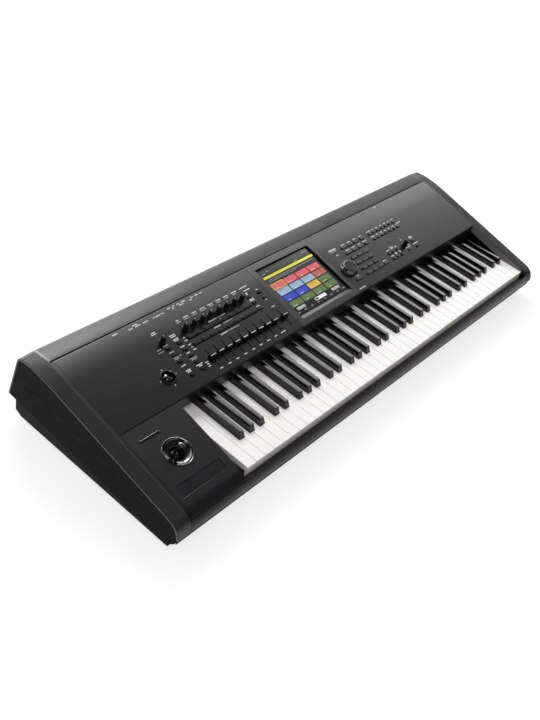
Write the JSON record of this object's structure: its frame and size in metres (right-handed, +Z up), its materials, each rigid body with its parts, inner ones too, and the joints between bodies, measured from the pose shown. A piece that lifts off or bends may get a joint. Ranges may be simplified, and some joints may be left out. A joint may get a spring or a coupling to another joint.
{
  "type": "music workstation keyboard",
  "caption": "Long sloping keyboard workstation with weighted keys, a tilted touch screen, knobs, sliders, joysticks, wooden end cheeks and ribbed trims on a steel tray.",
  "frame": {"origin": "under the middle of the instrument, on the plane its feet stand on", "axes": "+X from the bass end to the treble end, -Y towards the player, +Z up"},
  "size_m": [1.206, 0.409, 0.151],
  "materials": {
    "chassis_steel": "powder coat",
    "panel_steel": "powder coat",
    "keybed_steel": "zinc plated",
    "panel_paint": "fine texture",
    "bezel_plastic": "satin",
    "rail_plastic": "satin gloss",
    "trim_plastic": "ribbed, satin",
    "stained_wood": "black stain, satin",
    "screen_glass": "polished",
    "board": "solder mask",
    "ribbon_film": "satin film",
    "gloss_black": "gloss",
    "nylon": "moulded",
    "knob_plastic": "satin",
    "button_plastic": "satin",
    "socket_plastic": "moulded",
    "white_key": "polished",
    "black_key": "polished",
    "rubber": "moulded"
  },
  "bodies": {
    "case": {"bottom_chassis": "chassis_steel", "left_control_panel": "panel_paint", "right_control_panel": "panel_paint", "display_bezel": "bezel_plastic", "touch_screen": "screen_glass", "left_side_panel": "stained_wood", "right_side_panel": "stained_wood", "left_side_trim": "trim_plastic", "right_side_trim": "trim_plastic", "rear_trim": "trim_plastic", "jack_panel": "panel_steel", "rear_socket_board": "socket_plastic", "left_key_block": "bezel_plastic", "front_rail": "rail_plastic", "ribbon_strip": "ribbon_film", "joystick_bowl": "gloss_black", "keybed_frame": "keybed_steel", "control_board": "board", "main_board": "board", "front_left_foot": "rubber", "front_right_foot": "rubber", "rear_left_foot": "rubber", "rear_right_foot": "rubber"},
    "control_knob_1": {"control_knob_1": "knob_plastic"},
    "control_knob_2": {"control_knob_2": "knob_plastic"},
    "control_knob_3": {"control_knob_3": "knob_plastic"},
    "control_knob_4": {"control_knob_4": "knob_plastic"},
    "control_knob_5": {"control_knob_5": "knob_plastic"},
    "control_knob_6": {"control_knob_6": "knob_plastic"},
    "control_knob_7": {"control_knob_7": "knob_plastic"},
    "control_knob_8": {"control_knob_8": "knob_plastic"},
    "volume_knob": {"volume_knob": "knob_plastic"},
    "tempo_knob": {"tempo_knob": "knob_plastic"},
    "mixer_slider_1": {"mixer_slider_1": "knob_plastic"},
    "mixer_slider_2": {"mixer_slider_2": "knob_plastic"},
    "mixer_slider_3": {"mixer_slider_3": "knob_plastic"},
    "mixer_slider_4": {"mixer_slider_4": "knob_plastic"},
    "mixer_slider_5": {"mixer_slider_5": "knob_plastic"},
    "mixer_slider_6": {"mixer_slider_6": "knob_plastic"},
    "mixer_slider_7": {"mixer_slider_7": "knob_plastic"},
    "mixer_slider_8": {"mixer_slider_8": "knob_plastic"},
    "mixer_slider_9": {"mixer_slider_9": "knob_plastic"},
    "value_slider": {"value_slider": "knob_plastic"},
    "white_keys_low": {"white_keys_low": "white_key"},
    "white_keys_middle": {"white_keys_middle": "white_key"},
    "white_keys_high": {"white_keys_high": "white_key"},
    "black_keys_low": {"black_keys_low": "black_key"},
    "black_keys_middle": {"black_keys_middle": "black_key"},
    "black_keys_high": {"black_keys_high": "black_key"},
    "value_dial": {"value_dial": "knob_plastic"},
    "joystick_gimbal": {"joystick_gimbal": "nylon"},
    "joystick": {"joystick": "gloss_black"},
    "vector_stick_gimbal": {"vector_stick_gimbal": "nylon"},
    "vector_stick": {"vector_stick": "gloss_black"},
    "assign_switch_1": {"assign_switch_1": "button_plastic"},
    "assign_switch_2": {"assign_switch_2": "button_plastic"},
    "power_switch": {"power_switch": "button_plastic"},
    "left_panel_buttons": {"left_panel_buttons": "button_plastic"},
    "select_buttons": {"select_buttons": "button_plastic"},
    "transport_buttons": {"transport_buttons": "button_plastic"}
  },
  "joints": [
    {"name": "white_keys_low_press", "type": "hinge", "parent": "case", "child": "white_keys_low", "pos_m": [0, 0.02214, 0.059], "axis": [1, 0, 0], "range_deg": [0, 2.75], "stiffness_Nm_per_rad": 12, "springref_deg": -6.88},
    {"name": "white_keys_middle_press", "type": "hinge", "parent": "case", "child": "white_keys_middle", "pos_m": [0, 0.02214, 0.059], "axis": [1, 0, 0], "range_deg": [0, 2.75], "stiffness_Nm_per_rad": 12, "springref_deg": -6.88},
    {"name": "white_keys_high_press", "type": "hinge", "parent": "case", "child": "white_keys_high", "pos_m": [0, 0.02214, 0.059], "axis": [1, 0, 0], "range_deg": [0, 2.75], "stiffness_Nm_per_rad": 12, "springref_deg": -6.88},
    {"name": "black_keys_low_press", "type": "hinge", "parent": "case", "child": "black_keys_low", "pos_m": [0, 0.02214, 0.059], "axis": [1, 0, 0], "range_deg": [0, 2.75], "stiffness_Nm_per_rad": 6, "springref_deg": -6.88},
    {"name": "black_keys_middle_press", "type": "hinge", "parent": "case", "child": "black_keys_middle", "pos_m": [0, 0.02214, 0.059], "axis": [1, 0, 0], "range_deg": [0, 2.75], "stiffness_Nm_per_rad": 6, "springref_deg": -6.88},
    {"name": "black_keys_high_press", "type": "hinge", "parent": "case", "child": "black_keys_high", "pos_m": [0, 0.02214, 0.059], "axis": [1, 0, 0], "range_deg": [0, 2.75], "stiffness_Nm_per_rad": 6, "springref_deg": -6.88},
    {"name": "control_knob_1_turn", "type": "hinge", "parent": "case", "child": "control_knob_1", "pos_m": [-0.322, 0.07926, 0.13442], "axis": [0, -0.2198, 0.9755], "range_deg": [-140, 140]},
    {"name": "control_knob_2_turn", "type": "hinge", "parent": "case", "child": "control_knob_2", "pos_m": [-0.3005, 0.07926, 0.13442], "axis": [0, -0.2198, 0.9755], "range_deg": [-140, 140]},
    {"name": "control_knob_3_turn", "type": "hinge", "parent": "case", "child": "control_knob_3", "pos_m": [-0.279, 0.07926, 0.13442], "axis": [0, -0.2198, 0.9755], "range_deg": [-140, 140]},
    {"name": "control_knob_4_turn", "type": "hinge", "parent": "case", "child": "control_knob_4", "pos_m": [-0.2575, 0.07926, 0.13442], "axis": [0, -0.2198, 0.9755], "range_deg": [-140, 140]},
    {"name": "control_knob_5_turn", "type": "hinge", "parent": "case", "child": "control_knob_5", "pos_m": [-0.236, 0.07926, 0.13442], "axis": [0, -0.2198, 0.9755], "range_deg": [-140, 140]},
    {"name": "control_knob_6_turn", "type": "hinge", "parent": "case", "child": "control_knob_6", "pos_m": [-0.2145, 0.07926, 0.13442], "axis": [0, -0.2198, 0.9755], "range_deg": [-140, 140]},
    {"name": "control_knob_7_turn", "type": "hinge", "parent": "case", "child": "control_knob_7", "pos_m": [-0.193, 0.07926, 0.13442], "axis": [0, -0.2198, 0.9755], "range_deg": [-140, 140]},
    {"name": "control_knob_8_turn", "type": "hinge", "parent": "case", "child": "control_knob_8", "pos_m": [-0.1715, 0.07926, 0.13442], "axis": [0, -0.2198, 0.9755], "range_deg": [-140, 140]},
    {"name": "volume_knob_turn", "type": "hinge", "parent": "case", "child": "volume_knob", "pos_m": [-0.38, 0.07731, 0.13398], "axis": [0, -0.2198, 0.9755], "range_deg": [-140, 140]},
    {"name": "tempo_knob_turn", "type": "hinge", "parent": "case", "child": "tempo_knob", "pos_m": [0.316, 0.01487, 0.11991], "axis": [0, -0.2198, 0.9755], "range_deg": [-140, 140]},
    {"name": "mixer_slider_1_travel", "type": "slide", "parent": "case", "child": "mixer_slider_1", "axis": [0, 0.9755, 0.2198], "range_m": [-0.0195, 0.0172]},
    {"name": "mixer_slider_2_travel", "type": "slide", "parent": "case", "child": "mixer_slider_2", "axis": [0, 0.9755, 0.2198], "range_m": [-0.0195, 0.0172]},
    {"name": "mixer_slider_3_travel", "type": "slide", "parent": "case", "child": "mixer_slider_3", "axis": [0, 0.9755, 0.2198], "range_m": [-0.0195, 0.0172]},
    {"name": "mixer_slider_4_travel", "type": "slide", "parent": "case", "child": "mixer_slider_4", "axis": [0, 0.9755, 0.2198], "range_m": [-0.0195, 0.0172]},
    {"name": "mixer_slider_5_travel", "type": "slide", "parent": "case", "child": "mixer_slider_5", "axis": [0, 0.9755, 0.2198], "range_m": [-0.0195, 0.0172]},
    {"name": "mixer_slider_6_travel", "type": "slide", "parent": "case", "child": "mixer_slider_6", "axis": [0, 0.9755, 0.2198], "range_m": [-0.0195, 0.0172]},
    {"name": "mixer_slider_7_travel", "type": "slide", "parent": "case", "child": "mixer_slider_7", "axis": [0, 0.9755, 0.2198], "range_m": [-0.0195, 0.0172]},
    {"name": "mixer_slider_8_travel", "type": "slide", "parent": "case", "child": "mixer_slider_8", "axis": [0, 0.9755, 0.2198], "range_m": [-0.0195, 0.0172]},
    {"name": "mixer_slider_9_travel", "type": "slide", "parent": "case", "child": "mixer_slider_9", "axis": [0, 0.9755, 0.2198], "range_m": [-0.0195, 0.0172]},
    {"name": "value_slider_travel", "type": "slide", "parent": "case", "child": "value_slider", "axis": [0, 0.9755, 0.2198], "range_m": [-0.0195, 0.0172]},
    {"name": "value_dial_turn", "type": "hinge", "parent": "case", "child": "value_dial", "pos_m": [0.121, 0.02951, 0.12321], "axis": [0, -0.2198, 0.9755], "continuous": true},
    {"name": "joystick_pitch", "type": "hinge", "parent": "case", "child": "joystick_gimbal", "pos_m": [-0.5095, -0.09721, 0.07825], "axis": [1, 0, 0], "range_deg": [-18, 18], "stiffness_Nm_per_rad": 0.3},
    {"name": "joystick_roll", "type": "hinge", "parent": "joystick_gimbal", "child": "joystick", "pos_m": [-0.5095, -0.09721, 0.07825], "axis": [0, 0.9755, 0.2198], "range_deg": [-18, 18], "stiffness_Nm_per_rad": 0.3},
    {"name": "vector_stick_pitch", "type": "hinge", "parent": "case", "child": "vector_stick_gimbal", "pos_m": [-0.4225, 0.01719, 0.11191], "axis": [1, 0, 0], "range_deg": [-18, 18], "stiffness_Nm_per_rad": 0.05},
    {"name": "vector_stick_roll", "type": "hinge", "parent": "vector_stick_gimbal", "child": "vector_stick", "pos_m": [-0.4225, 0.01719, 0.11191], "axis": [0, 0.9755, 0.2198], "range_deg": [-18, 18], "stiffness_Nm_per_rad": 0.05},
    {"name": "assign_switch_1_press", "type": "slide", "parent": "case", "child": "assign_switch_1", "axis": [0, 0.2198, -0.9755], "range_m": [0, 0.0008], "stiffness_N_per_m": 300, "springref_m": -0.0008},
    {"name": "assign_switch_2_press", "type": "slide", "parent": "case", "child": "assign_switch_2", "axis": [0, 0.2198, -0.9755], "range_m": [0, 0.0008], "stiffness_N_per_m": 300, "springref_m": -0.0008},
    {"name": "left_panel_buttons_press", "type": "slide", "parent": "case", "child": "left_panel_buttons", "axis": [0, 0.2198, -0.9755], "range_m": [0, 0.0008], "stiffness_N_per_m": 900, "springref_m": -0.0008},
    {"name": "select_buttons_press", "type": "slide", "parent": "case", "child": "select_buttons", "axis": [0, 0.2198, -0.9755], "range_m": [0, 0.0008], "stiffness_N_per_m": 900, "springref_m": -0.0008},
    {"name": "transport_buttons_press", "type": "slide", "parent": "case", "child": "transport_buttons", "axis": [0, 0.2198, -0.9755], "range_m": [0, 0.0008], "stiffness_N_per_m": 600, "springref_m": -0.0008},
    {"name": "power_switch_rock", "type": "hinge", "parent": "case", "child": "power_switch", "pos_m": [0.3, 0.1785, 0.0763], "axis": [1, 0, 0], "range_deg": [-24, 0]}
  ]
}
